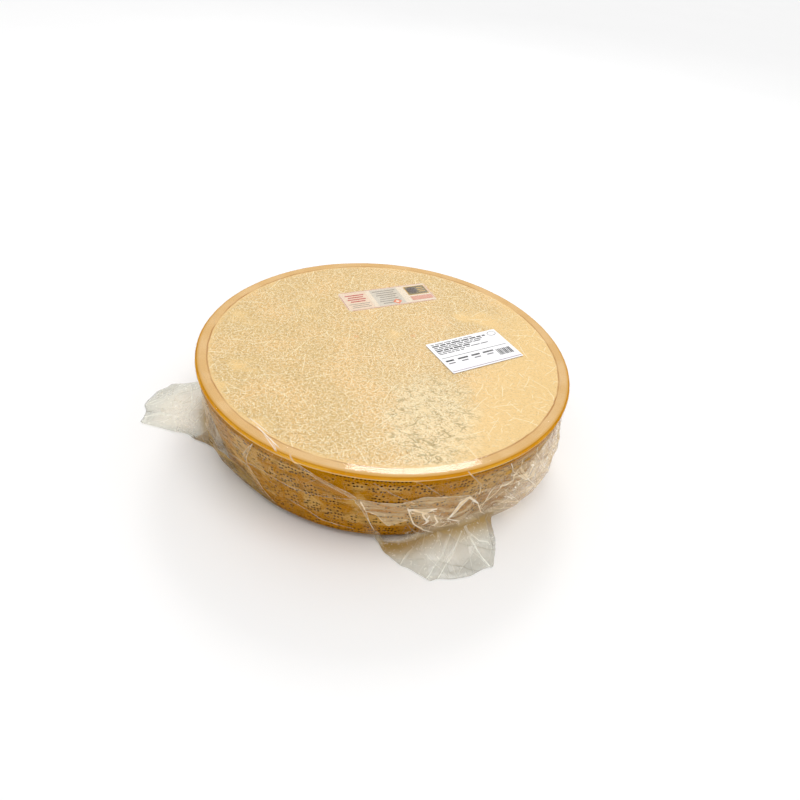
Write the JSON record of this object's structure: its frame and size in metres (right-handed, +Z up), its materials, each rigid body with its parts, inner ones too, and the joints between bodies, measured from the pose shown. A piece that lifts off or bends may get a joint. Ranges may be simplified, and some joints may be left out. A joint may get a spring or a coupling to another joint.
{
  "type": "half wheel of parmesan cheese",
  "caption": "Half wheel of hard grating cheese, cut level with its cut face up, sealed in clear film with loose ends, with a product label and a weight label.",
  "frame": {"origin": "middle of the flat underside of the film bag, on the wheel's axis", "axes": "+Z up along the wheel's axis, cut face up; -Y is the front, where one loose end of the bag lies; -X is the left, where the other lies"},
  "size_m": [0.5087, 0.4558, 0.1158],
  "materials": {
    "cheese": "pale gold paste in the cut face, amber rind with brown pin marks on the heel",
    "film": "clear glossy film, tight over the cut face, wrinkled and slightly hazy where it is loose",
    "product_label": "printed paper with plain fields of colour",
    "weight_label": "white thermal paper with plain dark bars"
  },
  "bodies": {
    "root": {"cheese": "cheese", "film_bag": "film", "product_label": "product_label", "weight_label": "weight_label"}
  },
  "joints": []
}
